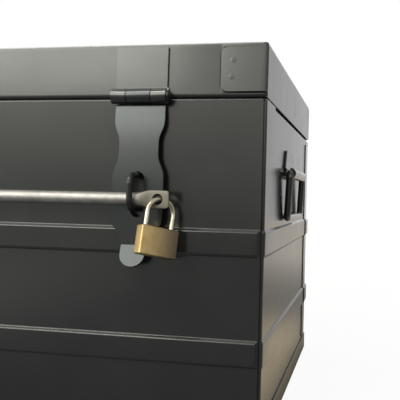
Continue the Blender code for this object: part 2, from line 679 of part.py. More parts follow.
def build_padlock(brass, steel):
    """The padlock: shackle hung through the bar's eye, bored body and key plug."""
    top = -SHACKLE_BEND - SHACKLE_RISE
    bottom = top - LOCK_HEIGHT
    path = [(-SHACKLE_BEND, top - TOE_DEPTH)]
    path += arc((0, -SHACKLE_BEND), SHACKLE_BEND, 180, 0, 16)
    path.append((SHACKLE_BEND, top - HEEL_DEPTH))
    normal = lock_place((0, 1, 0)) - lock_place((0, 0, 0))
    tube("padlock_shackle", [lock_place((x, 0, z)) for x, z in path], normal, SHACKLE_RADIUS, steel, 14, EYE)

    edge = LOCK_EDGE
    loops = []
    for inset, height in ((edge, bottom), (0, bottom + edge), (0, top - edge), (edge, top)):
        half_thick = LOCK_THICK / 2 - inset
        ring = rounded_rectangle(LOCK_WIDTH / 2 - inset, -half_thick, half_thick, (2 * edge,) * 2, height, 2)
        loops.append([lock_place(point) for point in ring])
    body = loft("padlock_body", loops, brass, EYE)
    bore = SHACKLE_RADIUS + FIT_GAP
    lift = 0.002
    toe_bore = lock_drill("toe_bore", -SHACKLE_BEND, bore, top + lift, TOE_DEPTH + 2 * lift)
    combine(body, toe_bore, "DIFFERENCE")
    heel_bore = lock_drill("heel_bore", SHACKLE_BEND, bore, top + lift, HEEL_DEPTH + 2 * lift)
    combine(body, heel_bore, "DIFFERENCE")
    recess = PLUG_LENGTH + FIT_GAP
    plug_bore = lock_drill("plug_bore", 0, PLUG_RADIUS + FIT_GAP, bottom + recess, recess + lift, 20)
    combine(body, plug_bore, "DIFFERENCE")

    foot = lock_place((0, 0, bottom))
    axis = lock_place((0, 0, bottom + PLUG_LENGTH)) - foot
    plug = turned("padlock_plug", foot, axis, ((0, PLUG_RADIUS * 0.94), (0.0004, PLUG_RADIUS),
                                               (PLUG_LENGTH, PLUG_RADIUS)), steel, 20, EYE)
    half_wide, half_thin = KEYWAY[0] / 2, KEYWAY[1] / 2
    outline = ((-half_wide, -half_thin), (half_wide, -half_thin),
               (half_wide, half_thin), (-half_wide, half_thin))
    keyway = []
    for level in (bottom - lift, bottom + PLUG_LENGTH * 0.7):
        keyway.append([lock_place((x, y, level)) for x, y in outline])
    combine(plug, loft("keyway", keyway, None), "DIFFERENCE")


def rear_axis():
    """Middle of the lid's hinge line."""
    depth = HALF_DEPTH + FIT_GAP + REAR_SHEET + REAR_BORE
    return Vector((0, depth, REAR_AXIS_HEIGHT))


def build_rear_hinge(side, sign, material, lid_axis):
    """A butt hinge behind the trunk: two rolled leaves, a pin, and a heel that stops the open lid."""
    middle = sign * REAR_HINGE_OFFSET
    roll = REAR_BORE + REAR_SHEET / 2
    plate = lid_axis.y - roll
    centre = (lid_axis.y, lid_axis.z)
    place = along_length(middle)
    half_widths = [REAR_HINGE_HALF] * 14
    lower = [(plate, lid_axis.z - REAR_LEAF)] + arc(centre, roll, 180, -80, 12)
    body_leaf = ribbon(f"rear_hinge_body_leaf_{side}", lower, REAR_SHEET, half_widths, place, material)
    upper = [(plate, lid_axis.z + REAR_LEAF)] + arc(centre, roll, 180, 440, 12)
    lid_leaf = ribbon(f"rear_hinge_lid_leaf_{side}", upper, REAR_SHEET, half_widths, place,
                      material, lid_axis)
    reach = REAR_BORE + REAR_SHEET + FIT_GAP
    for number in range(5):
        start = middle - REAR_HINGE_HALF + number * REAR_KNUCKLE
        overrun = {0: (1, 0), 4: (0, 1)}.get(number, (0, 0))
        low = start - FIT_GAP / 2 - overrun[0] * REAR_SHEET
        high = start + REAR_KNUCKLE + FIT_GAP / 2 + overrun[1] * REAR_SHEET
        leaf = body_leaf if number % 2 else lid_leaf
        notch = box_loops((low, centre[0] - 2 * reach, centre[1] - reach),
                          (high, centre[0] + 2 * reach, centre[1] + reach))
        combine(leaf, loft(f"{leaf.name}_notch_{number}", notch, None), "DIFFERENCE")
    combine(lid_leaf, stop_heel(f"stop_heel_{side}", middle - REAR_KNUCKLE, lid_axis), "UNION")
    length = 2 * (REAR_HINGE_HALF + FIT_GAP)
    start = Vector((middle - length / 2, lid_axis.y, lid_axis.z))
    profile = ((0, REAR_PIN_RADIUS * 0.8), (0.0005, REAR_PIN_RADIUS),
               (length - 0.0005, REAR_PIN_RADIUS), (length, REAR_PIN_RADIUS * 0.8))
    turned(f"rear_hinge_pin_{side}", start, (1, 0, 0), profile, material, 14)


def stop_heel(name, middle, lid_axis):
    """A lug on a lid knuckle that meets the body leaf when the lid is fully open."""
    face = -REAR_BORE + FIT_GAP
    half = REAR_KNUCKLE / 2 - 0.001
    back = Matrix.Rotation(LID_OPENING, 3, "X")
    loops = []
    for x in (middle - half, middle + half):
        corners = ((face, -STOP_REACH), (face + REAR_SHEET, -STOP_REACH),
                   (face + REAR_SHEET, -REAR_BORE - REAR_SHEET / 2), (face, -REAR_BORE - REAR_SHEET / 2))
        loops.append([Vector((x, 0, 0)) + Vector((0, lid_axis.y, lid_axis.z)) + back @ Vector((0, y, z))
                      for y, z in corners])
    return loft(name, loops, None)


def handle_axis(sign):
    """Middle of a handle's upper rod, which turns in its clip."""
    return Vector((sign * (HALF_LENGTH + BAIL_PROUD), HANDLE_MIDDLE, HANDLE_HEIGHT))


def build_handle(side, sign, paint):
    """A drop handle: a closed wire bail whose upper rod turns in a clip of folded sheet."""
    axis = handle_axis(sign)
    ring = []
    half = BAIL_HALF - BAIL_CORNER
    low = -BAIL_DROP + BAIL_CORNER
    corners = (((half, -BAIL_CORNER), 0), ((-half, -BAIL_CORNER), 90),
               ((-half, low), 180), ((half, low), 270))
    for centre, start in corners:
        ring += arc(centre, BAIL_CORNER, start, start + 90, 4)
    lean = Matrix.Rotation(sign * BAIL_LEAN, 3, "Y")
    points = [axis + lean @ Vector((0, y, z)) for y, z in ring]
    tube(f"handle_bail_{side}", points, lean @ Vector((1, 0, 0)), BAIL_RADIUS, paint, 12, axis, closed=True)

    roll = BAIL_RADIUS + FIT_GAP + CLIP_SHEET / 2
    back = BAIL_PROUD - roll
    path = [(back, height) for height, _ in CLIP_WIDTHS]
    widths = [half_width for _, half_width in CLIP_WIDTHS]
    path.append((back, HANDLE_HEIGHT + CLIP_STEP - FIT_GAP))
    path += arc((BAIL_PROUD, HANDLE_HEIGHT), roll, 180, 455, 15)
    widths += [CLIP_ROLL_HALF] * (len(path) - len(widths))
    ribbon(f"handle_clip_{side}", path, CLIP_SHEET, widths, lambda across, proud, height:
           (sign * (HALF_LENGTH + proud), HANDLE_MIDDLE + across, height), paint)


def build_trunk():
    """Builds every piece of the trunk."""
    enamel = finish("black enamel", (0.012, 0.0125, 0.012), 0.22, 0.0)
    plated = finish("plated steel", (0.60, 0.59, 0.56), 0.28, 1.0)
    brass = finish("brass", (0.56, 0.40, 0.16), 0.30, 1.0)

    build_floor_pan(enamel)
    build_front_panel(enamel)
    build_rear_panel(enamel)
    build_rim_frame(enamel)
    lid_axis = rear_axis()
    build_lid(enamel, lid_axis)
    build_bar(plated)
    build_padlock(brass, plated)
    for side, sign in SIDES.items():
        build_side_panel(f"{side}_panel", sign, enamel)
        build_staple(f"staple_{side}", sign, enamel)
        build_staple_plate(f"staple_plate_{side}", sign, enamel)
        build_hasp_leaf(f"hasp_leaf_{side}", sign, enamel, lid_axis)
        build_hasp_pin(f"hasp_pin_{side}", sign, enamel, lid_axis)
        build_strap(f"hasp_strap_{side}", sign, enamel)
        build_rear_hinge(side, sign, enamel, lid_axis)
        build_handle(side, sign, enamel)


if __name__ == "__main__":
    remove_objects()
    build_trunk()
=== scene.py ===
"""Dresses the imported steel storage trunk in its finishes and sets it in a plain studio.

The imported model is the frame: its nodes keep their shapes and get enamel, plating and brass, and the small
pieces that the frame leaves out are built here as surfaces worked out with numpy. Lengths are in metres,
unless a name ends in mm, and angles are in degrees.
"""
from __future__ import annotations

import json
import logging
import math
from collections.abc import Sequence
from dataclasses import dataclass, field, fields
from enum import Enum

import bpy
import numpy as np
from mathutils import Matrix, Vector

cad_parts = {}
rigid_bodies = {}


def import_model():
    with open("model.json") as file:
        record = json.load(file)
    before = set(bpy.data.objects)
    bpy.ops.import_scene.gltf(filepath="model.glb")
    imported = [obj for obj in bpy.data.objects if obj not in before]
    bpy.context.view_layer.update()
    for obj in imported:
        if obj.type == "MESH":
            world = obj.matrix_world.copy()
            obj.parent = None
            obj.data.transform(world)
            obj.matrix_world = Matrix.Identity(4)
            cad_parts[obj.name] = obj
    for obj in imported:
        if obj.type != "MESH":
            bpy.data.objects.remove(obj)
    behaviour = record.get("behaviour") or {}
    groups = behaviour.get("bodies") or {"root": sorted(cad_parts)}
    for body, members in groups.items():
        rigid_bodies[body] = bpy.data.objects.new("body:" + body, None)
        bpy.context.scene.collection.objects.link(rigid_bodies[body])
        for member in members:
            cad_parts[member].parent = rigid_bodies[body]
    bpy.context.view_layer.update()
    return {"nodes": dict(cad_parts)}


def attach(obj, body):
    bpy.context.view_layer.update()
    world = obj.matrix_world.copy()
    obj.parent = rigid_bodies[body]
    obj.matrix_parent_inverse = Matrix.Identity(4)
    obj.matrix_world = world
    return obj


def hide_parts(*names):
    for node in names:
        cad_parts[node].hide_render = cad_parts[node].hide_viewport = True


Pair = tuple[float, float]
Triple = tuple[float, float, float]
Material = bpy.types.Material
Socket = bpy.types.NodeSocket
Tree = bpy.types.NodeTree

LOG = logging.getLogger("trunk")
MM = 0.001
ALONG, BACK, UP = np.eye(3)

# The hasps and the staples stand this far left and right of the middle.
HASP_X = 0.334

# Node settings that come up often: a soft step, a mix of colours or numbers, a product and a maximum.
SOFT = {"interpolation_type": "SMOOTHSTEP"}
COLOURS = {"data_type": "RGBA"}
NUMBERS = {"data_type": "FLOAT"}
TIMES = {"operation": "MULTIPLY"}
LARGER = {"operation": "MAXIMUM"}


class Side(Enum):
    """The trunk's two ends as the viewer sees them, with the sign of their place along the length."""

    LEFT = -1
    RIGHT = 1

    @property
    def word(self) -> str:
        """The side as it stands in the names of pieces."""
        return self.name.lower()


class Paint(Enum):
    """The trunk's and the studio's colours as sRGB hex values."""

    ENAMEL = "1b1c1b"
    ENAMEL_DUST = "6f6f69"
    ENAMEL_GLOSS = "f4f5ea"
    STRAP_GLOSS = "eff5ee"
    ZINC = "aaa79e"
    ZINC_DULL = "918e85"
    # Brown tint where the padlock rubs the bar's eye, darkened further as painted shade.
    ZINC_WORN = "858170"
    PLATE = "c1b9a3"
    PLATE_DULL = "979079"
    BRASS = "e0c48b"
    BRASS_DULL = "cbaa6d"
    # Painted shade: the padlock's brass darkens to this towards the right.
    BRASS_TARNISH = "675d4f"
    FLOOR = "f6f3ee"
    FLOOR_NEAR = "a6a8ac"
    # Painted shade on the floor towards the right, seen in reflections.
    FLOOR_SHADED = "686a6e"
    FLOOR_PALE = "c9c9c6"
    FLOOR_MIRRORED = "cab898"
    # Painted shadow on the floor at the trunk's foot, seen in reflections.
    FLOOR_FOOT = "7d735f"
    # Painted shade along the cream's far edge, seen in reflections.
    FLOOR_EDGE = "5f584d"
    WALL_MIRRORED = "c6bbae"
    WHITE = "ffffff"


def linear(paint: Paint) -> tuple[float, float, float, float]:
    """Turns an sRGB hex colour to linear light.

    Args:
        paint: The colour to turn.

    Returns:
        Linear red, green and blue with an alpha of 1.
    """
    codes = [int(paint.value[i:i + 2], 16) / 255 for i in (0, 2, 4)]
    light = [c / 12.92 if c <= 0.04045 else ((c + 0.055) / 1.055) ** 2.4 for c in codes]
    return (light[0], light[1], light[2], 1.0)


def add_node(tree: Tree, kind: str, settings: dict[str, object] | None = None,
             inputs: dict[str | int, object] | None = None) -> bpy.types.NodeOutputs:
    """Adds a node with its settings, and links or fills its inputs.

    Args:
        tree: The node tree that takes the node.
        kind: The node's type name.
        settings: Property values by name.
        inputs: Socket values by name or number; a socket as a value is linked.

    Returns:
        The new node's outputs.
    """
    node = tree.nodes.new(kind)
    for name, value in (settings or {}).items():
        setattr(node, name, value)
    for name, value in (inputs or {}).items():
        if isinstance(value, Socket):
            tree.links.new(value, node.inputs[name])
        else:
            node.inputs[name].default_value = value
    return node.outputs


def per_metre(size_mm: float) -> float:
    """Pattern scale that gives a pattern of the stated size in millimetres."""
    return 1 / (size_mm * MM)


@dataclass(frozen=True)
class Finish:
    """A finish with a name, a roughness and a base colour; each class of finishes has one metal share."""

    metallic = 0.0
    name: str
    roughness: float
    base: Paint

    def start(self) -> tuple[Material, Tree, bpy.types.Node, Socket]:
        """Makes the material with its shader and the object's coordinates.

        Returns:
            The material, its node tree, its shader node and the coordinate socket.
        """
        material = bpy.data.materials.new(self.name)
        material.use_nodes = True
        tree = material.node_tree
        shader = tree.nodes["Principled BSDF"]
        shader.inputs["Base Color"].default_value = linear(self.base)
        shader.inputs["Roughness"].default_value = self.roughness
        shader.inputs["Metallic"].default_value = self.metallic
        place = add_node(tree, "ShaderNodeTexCoord")["Object"]
        return material, tree, shader, place


@dataclass(frozen=True)
class StovedEnamel(Finish):
    """Black enamel sprayed and stoved on sheet steel: a deep glossy coat over slightly uneven sheet.

    It gives the eye blurred reflections that bend over the sheet's waves, a faint orange peel and a little
    dust. Real orange peel is about 1 mm across and too fine to show in the render, so it is drawn coarser.
    The index is above a clear resin's, matched to the strong gloss of the pigmented coat.

    Attributes:
        index: Index of refraction.
        gloss: Tint of the reflections.
        cloud_mm: Size of the clouds that dull the gloss and carry the dust.
        cloud_grain: Strength of the clouds' finer levels.
        dull_clouds: Cloud levels between which the gloss goes from best to dullest.
        dust_clouds: Cloud levels between which the dust goes from none to full.
        rough_spread: How far the roughness strays either way.
    """

    base: Paint = Paint.ENAMEL
    index: float = 1.75
    gloss: Paint = Paint.ENAMEL_GLOSS
    wave_mm: float = 130.0
    wave_height_mm: float = 0.15
    wave_detail: float = 0.0
    peel_mm: float = 2.2
    peel_height_mm: float = 0.013
    peel_detail: float = 1.0
    cloud_mm: float = 45.0
    cloud_detail: float = 5.0
    cloud_grain: float = 0.6
    dull_clouds: Pair = (0.3, 0.7)
    dust_clouds: Pair = (0.45, 0.8)
    rough_spread: float = 0.025
    dust: float = 0.02

    def build(self) -> Material:
        """Makes the material.

        Returns:
            The enamel material.
        """
        material, tree, shader, place = self.start()
        shader.inputs["IOR"].default_value = self.index
        shader.inputs["Specular Tint"].default_value = linear(self.gloss)
        clouds = add_node(tree, "ShaderNodeTexNoise", inputs={
            "Vector": place, "Scale": per_metre(self.cloud_mm),
            "Detail": self.cloud_detail, "Roughness": self.cloud_grain})
        rough = add_node(tree, "ShaderNodeMapRange", inputs={
            "Value": clouds[0], "From Min": self.dull_clouds[0], "From Max": self.dull_clouds[1],
            "To Min": self.roughness - self.rough_spread, "To Max": self.roughness + self.rough_spread})
        share = add_node(tree, "ShaderNodeMapRange", inputs={
            "Value": clouds[0], "From Min": self.dust_clouds[0], "From Max": self.dust_clouds[1],
            "To Max": self.dust})
        colour = add_node(tree, "ShaderNodeMix", COLOURS, {
            "Factor": share[0], "A": linear(self.base), "B": linear(Paint.ENAMEL_DUST)})
        tree.links.new(self.wear(tree, place, rough[0]), shader.inputs["Roughness"])
        tree.links.new(colour["Result"], shader.inputs["Base Color"])
        tree.links.new(self.relief(tree, place), shader.inputs["Normal"])
        return material

    def wear(self, tree: Tree, place: Socket, rough: Socket) -> Socket:
        """Passes the roughness on as it is: most of the enamel isn't rubbed."""
        return rough

    def relief(self, tree: Tree, place: Socket) -> Socket:
        """Bends the surface by the sheet's long waves and the coat's orange peel.

        Args:
            tree: The material's node tree.
            place: Object coordinates.

        Returns:
            The normal's socket.
        """
        wave = add_node(tree, "ShaderNodeTexNoise", inputs={
            "Vector": place, "Scale": per_metre(self.wave_mm), "Detail": self.wave_detail})
        sheet = add_node(tree, "ShaderNodeBump", inputs={
            "Height": wave[0], "Distance": self.wave_height_mm * MM})
        peel = add_node(tree, "ShaderNodeTexNoise", inputs={
            "Vector": place, "Scale": per_metre(self.peel_mm), "Detail": self.peel_detail})
        coat = add_node(tree, "ShaderNodeBump", inputs={
            "Height": peel[0], "Distance": self.peel_height_mm * MM, "Normal": sheet[0]})
        return coat[0]


@dataclass(frozen=True)
class LidEnamel(StovedEnamel):
    """The same enamel on the lid, whose front corner tabs slope out from their welded edge to the corner.

    It gives the eye tabs that catch a brighter part of the studio than the front beside them.

    Attributes:
        tab_start: Where a tab's welded edge is, from the middle of the length.
        tab_foot: Heights between which a tab's slope fades in at its lower edge.
        tab_front: Depth that only the lid's front lies before.
        tab_slope: How far a tab stands out for each metre along it.
    """

    tab_start: float = 0.412
    tab_foot: Pair = (0.3376, 0.3390)
    tab_front: float = -0.2535
    tab_slope: float = 0.04

    def relief(self, tree: Tree, place: Socket) -> Socket:
        """Adds the tabs' slope to the sheet's relief: the height grows with the distance past a tab's edge.

        Args:
            tree: The material's node tree.
            place: Object coordinates.

        Returns:
            The normal's socket.
        """
        coat = super().relief(tree, place)
        part = add_node(tree, "ShaderNodeSeparateXYZ", inputs={"Vector": place})
        reach = add_node(tree, "ShaderNodeMath", {"operation": "ABSOLUTE"}, {0: part["X"]})
        past = add_node(tree, "ShaderNodeMath", {"operation": "SUBTRACT"}, {
            0: reach[0], 1: self.tab_start})
        grown = add_node(tree, "ShaderNodeMath", LARGER, {0: past[0], 1: 0.0})
        above = add_node(tree, "ShaderNodeMapRange", inputs={
            "Value": part["Z"], "From Min": self.tab_foot[0], "From Max": self.tab_foot[1]})
        before = add_node(tree, "ShaderNodeMath", {"operation": "LESS_THAN"}, {
            0: part["Y"], 1: self.tab_front})
        on_tab = add_node(tree, "ShaderNodeMath", TIMES, {0: above[0], 1: before[0]})
        height = add_node(tree, "ShaderNodeMath", TIMES, {0: grown[0], 1: on_tab[0]})
        slope = add_node(tree, "ShaderNodeBump", inputs={
            "Height": height[0], "Distance": self.tab_slope, "Normal": coat})
        return slope[0]


@dataclass(frozen=True)
class RubbedEnamel(StovedEnamel):
    """The same enamel on the front, rubbed dull round the staples, where the straps are worked on and off.

    It gives the eye a soft dark patch behind each strap's slot, without sharp reflections.

    Attributes:
        staple_z: Height of the staples' middle.
        rubbed_mm: Distances from a staple's middle where the wear starts and where it is full.
        rubbed_roughness: Roughness where the wear is full.
    """

    staple_z: float = 0.2417
    rubbed_mm: Pair = (22.0, 14.0)
    rubbed_roughness: float = 0.65

    def wear(self, tree: Tree, place: Socket, rough: Socket) -> Socket:
        """Roughens the gloss within a set distance of a staple's middle.

        Args:
            tree: The material's node tree.
            place: Object coordinates.
            rough: Roughness so far.

        Returns:
            The roughness with wear.
        """
        part = add_node(tree, "ShaderNodeSeparateXYZ", inputs={"Vector": place})
        reach = add_node(tree, "ShaderNodeMath", {"operation": "ABSOLUTE"}, {0: part["X"]})
        flat = add_node(tree, "ShaderNodeCombineXYZ", inputs={"X": reach[0], "Z": part["Z"]})
        apart = add_node(tree, "ShaderNodeVectorMath", {"operation": "DISTANCE"}, {
            0: flat[0], 1: (HASP_X, 0.0, self.staple_z)})
        share = add_node(tree, "ShaderNodeMapRange", inputs={
            "Value": apart["Value"],
            "From Min": self.rubbed_mm[0] * MM, "From Max": self.rubbed_mm[1] * MM})
        worn = add_node(tree, "ShaderNodeMix", NUMBERS, {
            "Factor": share[0], "A": rough, "B": self.rubbed_roughness})
        return worn["Result"]


@dataclass(frozen=True)
class Tarnish:
    """Painted shade and browning along the length: its colour, where it starts and is full, and its share."""

    colour: Paint
    spread_mm: Pair
    share: float

    def over(self, tree: Tree, place: Socket, bright: Socket) -> Socket:
        """Lays the painted shade and browning over a bright colour.

        Args:
            tree: The material's node tree.
            place: Object coordinates.
            bright: Colour so far.

        Returns:
            The colour with the painted shade and browning.
        """
        along = add_node(tree, "ShaderNodeSeparateXYZ", inputs={"Vector": place})["X"]
        share = add_node(tree, "ShaderNodeMapRange", SOFT, {
            "Value": along, "From Min": self.spread_mm[0] * MM, "From Max": self.spread_mm[1] * MM,
            "To Max": self.share})
        mixed = add_node(tree, "ShaderNodeMix", COLOURS, {
            "Factor": share[0], "A": bright, "B": linear(self.colour)})
        return mixed["Result"]


@dataclass(frozen=True)
class BrightMetal(Finish):
    """Drawn or brushed metal: fine lines along one way, with duller clouds where it has been handled.

    It gives the eye highlights that are drawn out across the lines. Real lines are about 0.1 mm apart and too
    fine to show in the render, so they are drawn coarser.

    Attributes:
        dull: Colour of the clouds.
        line_stretch: Scale of the lines along each axis, smallest along the lines.
        tarnish: Painted shade and browning over the metal, if any.
        line_levels: Line levels between which the roughness goes from least to most.
        cloud_grain: Strength of the clouds' finer levels.
        cloud_levels: Cloud levels between which the metal goes from bright to dull.
        rough_spread: How far the roughness strays either way.
    """

    metallic = 1.0
    dull: Paint
    line_stretch: Triple
    tarnish: Tarnish | None = None
    line_mm: float = 0.5
    line_height_mm: float = 0.006
    line_detail: float = 2.0
    line_levels: Pair = (0.3, 0.7)
    cloud_mm: float = 9.0
    cloud_detail: float = 4.0
    cloud_grain: float = 0.65
    cloud_levels: Pair = (0.4, 0.75)
    rough_spread: float = 0.07

    def build(self) -> Material:
        """Makes the material.

        Returns:
            The metal material.
        """
        material, tree, shader, place = self.start()
        along = add_node(tree, "ShaderNodeMapping", inputs={"Vector": place, "Scale": self.line_stretch})
        lines = add_node(tree, "ShaderNodeTexNoise", inputs={
            "Vector": along[0], "Scale": per_metre(self.line_mm), "Detail": self.line_detail})
        clouds = add_node(tree, "ShaderNodeTexNoise", inputs={
            "Vector": place, "Scale": per_metre(self.cloud_mm),
            "Detail": self.cloud_detail, "Roughness": self.cloud_grain})
        share = add_node(tree, "ShaderNodeMapRange", inputs={
            "Value": clouds[0], "From Min": self.cloud_levels[0], "From Max": self.cloud_levels[1]})
        colour = add_node(tree, "ShaderNodeMix", COLOURS, {
            "Factor": share[0], "A": linear(self.base), "B": linear(self.dull)})
        shown = colour["Result"]
        # Painted shade and browning along the length, where the finish has them.
        if self.tarnish is not None:
            shown = self.tarnish.over(tree, place, shown)
        tree.links.new(shown, shader.inputs["Base Color"])
        rough = add_node(tree, "ShaderNodeMapRange", inputs={
            "Value": lines[0], "From Min": self.line_levels[0], "From Max": self.line_levels[1],
            "To Min": self.roughness - self.rough_spread, "To Max": self.roughness + self.rough_spread})
        tree.links.new(rough[0], shader.inputs["Roughness"])
        bump = add_node(tree, "ShaderNodeBump", inputs={
            "Height": lines[0], "Distance": self.line_height_mm * MM})
        tree.links.new(bump[0], shader.inputs["Normal"])
        return material


# Sheet: near-black, with the studio mirrored softly in it.
ENAMEL = StovedEnamel("stoved black enamel on sheet", 0.17)
FRONT_ENAMEL = RubbedEnamel("stoved black enamel on the front", 0.17)
LID_ENAMEL = LidEnamel("stoved black enamel on the lid", 0.17)
END_ENAMEL = StovedEnamel("stoved black enamel on end sheet", 0.15)

# The pan near the floor: scuffed, so its reflections are wider and duller.
PAN_ENAMEL = StovedEnamel("dulled black enamel on the pan", 0.30)

# Hasps: a thicker coat on small stiff pieces, with blurred reflections and short shallow waves.
HASP_ENAMEL = StovedEnamel("stoved black enamel on hasp leaves", 0.19, index=1.86,
                           wave_mm=40.0, wave_height_mm=0.05)
STRAP_ENAMEL = StovedEnamel("stoved black enamel on straps", 0.20, index=1.72,
                            gloss=Paint.STRAP_GLOSS, wave_mm=40.0, wave_height_mm=0.05)

# Bent wire: narrow highlights along the bails, and a thinner, flatter coat on the staples.
WIRE_ENAMEL = StovedEnamel("stoved black enamel on wire", 0.13, wave_mm=9.0, wave_height_mm=0.03)
STAPLE_ENAMEL = StovedEnamel("brushed black enamel on staples", 0.24, index=1.5,
                             wave_mm=6.0, wave_height_mm=0.05)

# Zinc plate: pale grey with a wide dull sheen, browner towards the bar's eye, where the padlock rubs it, and
# darker there with painted shade.
ZINC = BrightMetal("zinc plate on drawn rod", 0.52, Paint.ZINC, Paint.ZINC_DULL, (0.03, 1.0, 1.0),
                   Tarnish(Paint.ZINC_WORN, (337.0, 347.0), 0.9))

# Polished plate: a mirror with strong light and dark streaks round the wire.
SHACKLE_STEEL = BrightMetal("polished plated steel", 0.16, Paint.PLATE, Paint.PLATE_DULL, (1.0, 1.0, 0.1))

# Brass: a warm satin sheen across upright brush lines, darkened towards the right with painted shade.
BRASS = BrightMetal("brushed brass", 0.40, Paint.BRASS, Paint.BRASS_DULL, (1.0, 1.0, 0.04),
                    Tarnish(Paint.BRASS_TARNISH, (349.0, 381.0), 1.0))

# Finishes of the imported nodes; a node that isn't named here takes the plain enamel.
FINISHES = {
    "front_panel": FRONT_ENAMEL, "lid_shell": LID_ENAMEL, "floor_pan": PAN_ENAMEL,
    "right_panel": END_ENAMEL, "left_panel": END_ENAMEL, "rear_panel": END_ENAMEL,
    "hasp_leaf_left": HASP_ENAMEL, "hasp_leaf_right": HASP_ENAMEL,
    "hasp_strap_left": STRAP_ENAMEL, "hasp_strap_right": STRAP_ENAMEL,
    "locking_bar": ZINC, "padlock_plug": SHACKLE_STEEL, "padlock_body": BRASS,
}


def ring_mesh(name: str, rings: np.ndarray, closed: bool, smooth: bool = True) -> bpy.types.Object:
    """Makes a piece from rings of points in order: quads between the rings, and a fan to a pole at each end.

    Args:
        name: The piece's name.
        rings: Points in an array of rings by points by three.
        closed: Whether the last ring joins the first, which leaves no poles.
        smooth: Whether the faces are shaded smoothly.

    Returns:
        The new object, at the origin, with its faces outward.
    """
    count, sides = rings.shape[:2]
    number = np.arange(count * sides).reshape(count, sides)
    along = number if closed else number[:-1]
    ahead = np.roll(number, -1, axis=0) if closed else number[1:]
    quads = np.stack([along, np.roll(along, -1, axis=1), np.roll(ahead, -1, axis=1), ahead], axis=-1)
    quads = quads.reshape(-1, 4)
    points = rings.reshape(-1, 3)
    triangles = np.concatenate([quads[:, [0, 1, 2]], quads[:, [0, 2, 3]]])
    if not closed:
        poles = np.stack([rings[0].mean(axis=0), rings[-1].mean(axis=0)])
        first, last = number[0], number[-1]
        start = np.stack([np.roll(first, -1), first, np.full(sides, len(points))], axis=-1)
        end = np.stack([last, np.roll(last, -1), np.full(sides, len(points) + 1)], axis=-1)
        points = np.concatenate([points, poles])
        triangles = np.concatenate([triangles, start, end])
    # The sum is six times the volume, which is below zero if the faces point inward.
    a, b, c = (points[triangles[:, corner]] for corner in range(3))
    if np.einsum("ij,ij->i", a, np.cross(b, c)).sum() < 0:
        triangles = triangles[:, ::-1]
    mesh = bpy.data.meshes.new(name)
    mesh.from_pydata(points.tolist(), [], triangles.tolist())
    mesh.polygons.foreach_set("use_smooth", np.full(len(triangles), smooth))
    mesh.update()
    piece = bpy.data.objects.new(name, mesh)
    bpy.context.scene.collection.objects.link(piece)
    return piece


def turn(axis: str, degrees: float) -> np.ndarray:
    """A turn about one axis as a matrix of three by three."""
    return np.array(Matrix.Rotation(math.radians(degrees), 3, axis))


def bend(centre: Pair, radius: float, start: float, end: float, steps: int = 24) -> np.ndarray:
    """Points of a round bend in its plane: centre plus radius times the cosine and sine of the angle."""
    angle = np.radians(np.linspace(start, end, steps + 1))
    return np.asarray(centre) + radius * np.stack([np.cos(angle), np.sin(angle)], axis=-1)


@dataclass
class Frame:
    """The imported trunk's nodes, with soft edges and smooth round faces, and the materials made so far."""

    nodes: dict[str, bpy.types.Object]
    edge_mm: float = 0.35
    edge_steps: int = 2
    join_mm: float = 0.02
    sharp_angle: float = 40.0
    materials: dict[str, Material] = field(default_factory=dict)

    def soften(self, name: str) -> None:
        """Joins a node's loose triangles, rounds its edges and shades its round faces smoothly.

        Args:
            name: The node's name.
        """
        item = self.nodes[name]
        join = item.modifiers.new("join", "WELD")
        join.merge_threshold = self.join_mm * MM
        smooth = item.modifiers.new("smooth", "NODES")
        smooth.node_group = self.smooth_group()
        bevel = item.modifiers.new("edges", "BEVEL")
        bevel.width = self.edge_mm * MM
        bevel.segments = self.edge_steps
        bevel.limit_method = "ANGLE"
        bevel.angle_limit = math.radians(self.sharp_angle)
        normals = item.modifiers.new("normals", "WEIGHTED_NORMAL")
        normals.keep_sharp = True

    def smooth_group(self) -> Tree:
        """Geometry nodes that drop the loose triangles' normals and shade every face smoothly, made once.

        Returns:
            The node group.
        """
        group = bpy.data.node_groups.get("shade smooth")
        if group is None:
            group = bpy.data.node_groups.new("shade smooth", "GeometryNodeTree")
            for way in ("INPUT", "OUTPUT"):
                group.interface.new_socket("Geometry", in_out=way, socket_type="NodeSocketGeometry")
            given = add_node(group, "NodeGroupInput")
            bare = add_node(group, "GeometryNodeRemoveAttribute", inputs={
                "Geometry": given[0], "Name": "custom_normal"})
            shade = add_node(group, "GeometryNodeSetShadeSmooth", inputs={"Geometry": bare[0]})
            add_node(group, "NodeGroupOutput", inputs={0: shade[0]})
        return group

    def dress(self, item: bpy.types.Object, finish: StovedEnamel | BrightMetal) -> None:
        """Gives a node or a new piece its finish, and reports it.

        Args:
            item: The node's or the piece's object.
            finish: The finish that it takes.
        """
        if finish.name not in self.materials:
            self.materials[finish.name] = finish.build()
        item.data.materials.clear()
        item.data.materials.append(self.materials[finish.name])
        LOG.info("dressed %s in %s", item.name, finish.name)


